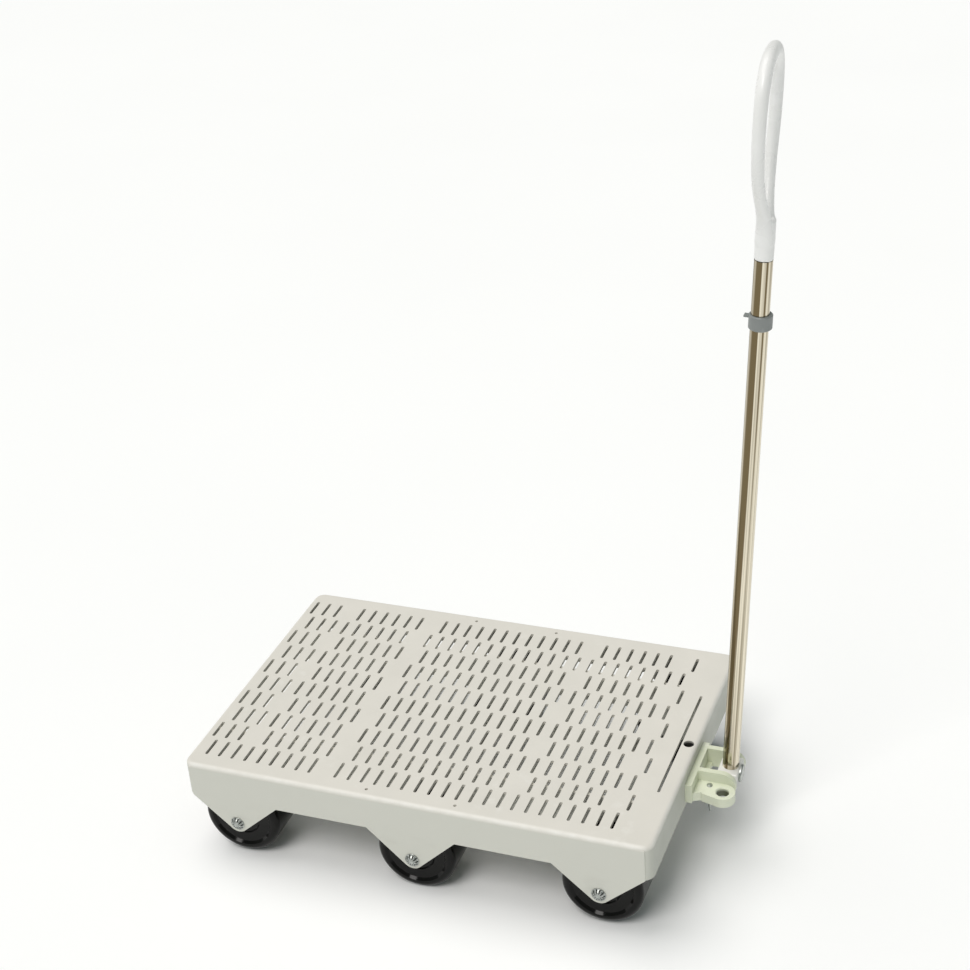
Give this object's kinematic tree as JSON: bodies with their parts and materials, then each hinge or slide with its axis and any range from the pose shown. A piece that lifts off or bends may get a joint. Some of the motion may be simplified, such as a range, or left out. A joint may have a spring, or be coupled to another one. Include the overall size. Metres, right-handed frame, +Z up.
{
  "type": "platform cart",
  "caption": "Low moulded platform cart on fixed wheels, with a tow handle that tips on a bracket at one end: steel tube and closed-loop grip.",
  "frame": {"origin": "on the floor under the middle wheels, in the middle of the whole cart along X and Y", "axes": "+X towards the handle, +Y across the deck, +Z up"},
  "size_m": [0.7019, 0.4084, 1.0017],
  "materials": {
    "deck_plastic": "fine moulded texture, light warm grey",
    "wheel_plastic": "smooth moulded, black",
    "axle_steel": "drawn bar",
    "zinc": "zinc plated",
    "spacer_plastic": "plain moulded",
    "bracket_nylon": "natural nylon, pale greenish",
    "knuckle_plastic": "smooth moulded, white",
    "tube_steel": "polished",
    "collar_plastic": "moulded, mid grey",
    "grip_plastic": "smooth moulded, white"
  },
  "bodies": {
    "chassis": {"deck": "deck_plastic", "axle_rear": "axle_steel", "axle_middle": "axle_steel", "axle_front": "axle_steel", "star_locks_rear": "zinc", "star_locks_middle": "zinc", "star_locks_front": "zinc", "spacers_rear": "spacer_plastic", "spacers_middle": "spacer_plastic", "spacers_front": "spacer_plastic", "handle_bracket": "bracket_nylon", "bracket_screws": "zinc", "bracket_lock_pin": "zinc", "pivot_pin": "axle_steel", "pivot_cap": "zinc"},
    "handle": {"handle_knuckle": "knuckle_plastic", "knuckle_cap_screw": "zinc", "lower_tube": "tube_steel", "upper_tube": "tube_steel", "joint_sleeve": "spacer_plastic", "tube_collar": "collar_plastic", "handle_grip": "grip_plastic"},
    "rear_near_wheel": {"wheel_rear_near": "wheel_plastic"},
    "rear_far_wheel": {"wheel_rear_far": "wheel_plastic"},
    "middle_near_wheel": {"wheel_middle_near": "wheel_plastic"},
    "middle_far_wheel": {"wheel_middle_far": "wheel_plastic"},
    "front_near_wheel": {"wheel_front_near": "wheel_plastic"},
    "front_far_wheel": {"wheel_front_far": "wheel_plastic"}
  },
  "joints": [
    {"name": "handle_tilt", "type": "hinge", "parent": "chassis", "child": "handle", "pos_m": [0.29004, 0, 0.102], "axis": [0, 1, 0], "range_deg": [-45, 86.7]},
    {"name": "rear_near_roll", "type": "hinge", "parent": "chassis", "child": "rear_near_wheel", "pos_m": [-0.28596, -0.158, 0.0535], "axis": [0, 1, 0], "continuous": true},
    {"name": "rear_far_roll", "type": "hinge", "parent": "chassis", "child": "rear_far_wheel", "pos_m": [-0.28596, 0.158, 0.0535], "axis": [0, 1, 0], "continuous": true},
    {"name": "middle_near_roll", "type": "hinge", "parent": "chassis", "child": "middle_near_wheel", "pos_m": [-0.05096, -0.158, 0.05], "axis": [0, 1, 0], "continuous": true},
    {"name": "middle_far_roll", "type": "hinge", "parent": "chassis", "child": "middle_far_wheel", "pos_m": [-0.05096, 0.158, 0.05], "axis": [0, 1, 0], "continuous": true},
    {"name": "front_near_roll", "type": "hinge", "parent": "chassis", "child": "front_near_wheel", "pos_m": [0.18404, -0.158, 0.0535], "axis": [0, 1, 0], "continuous": true},
    {"name": "front_far_roll", "type": "hinge", "parent": "chassis", "child": "front_far_wheel", "pos_m": [0.18404, 0.158, 0.0535], "axis": [0, 1, 0], "continuous": true}
  ]
}
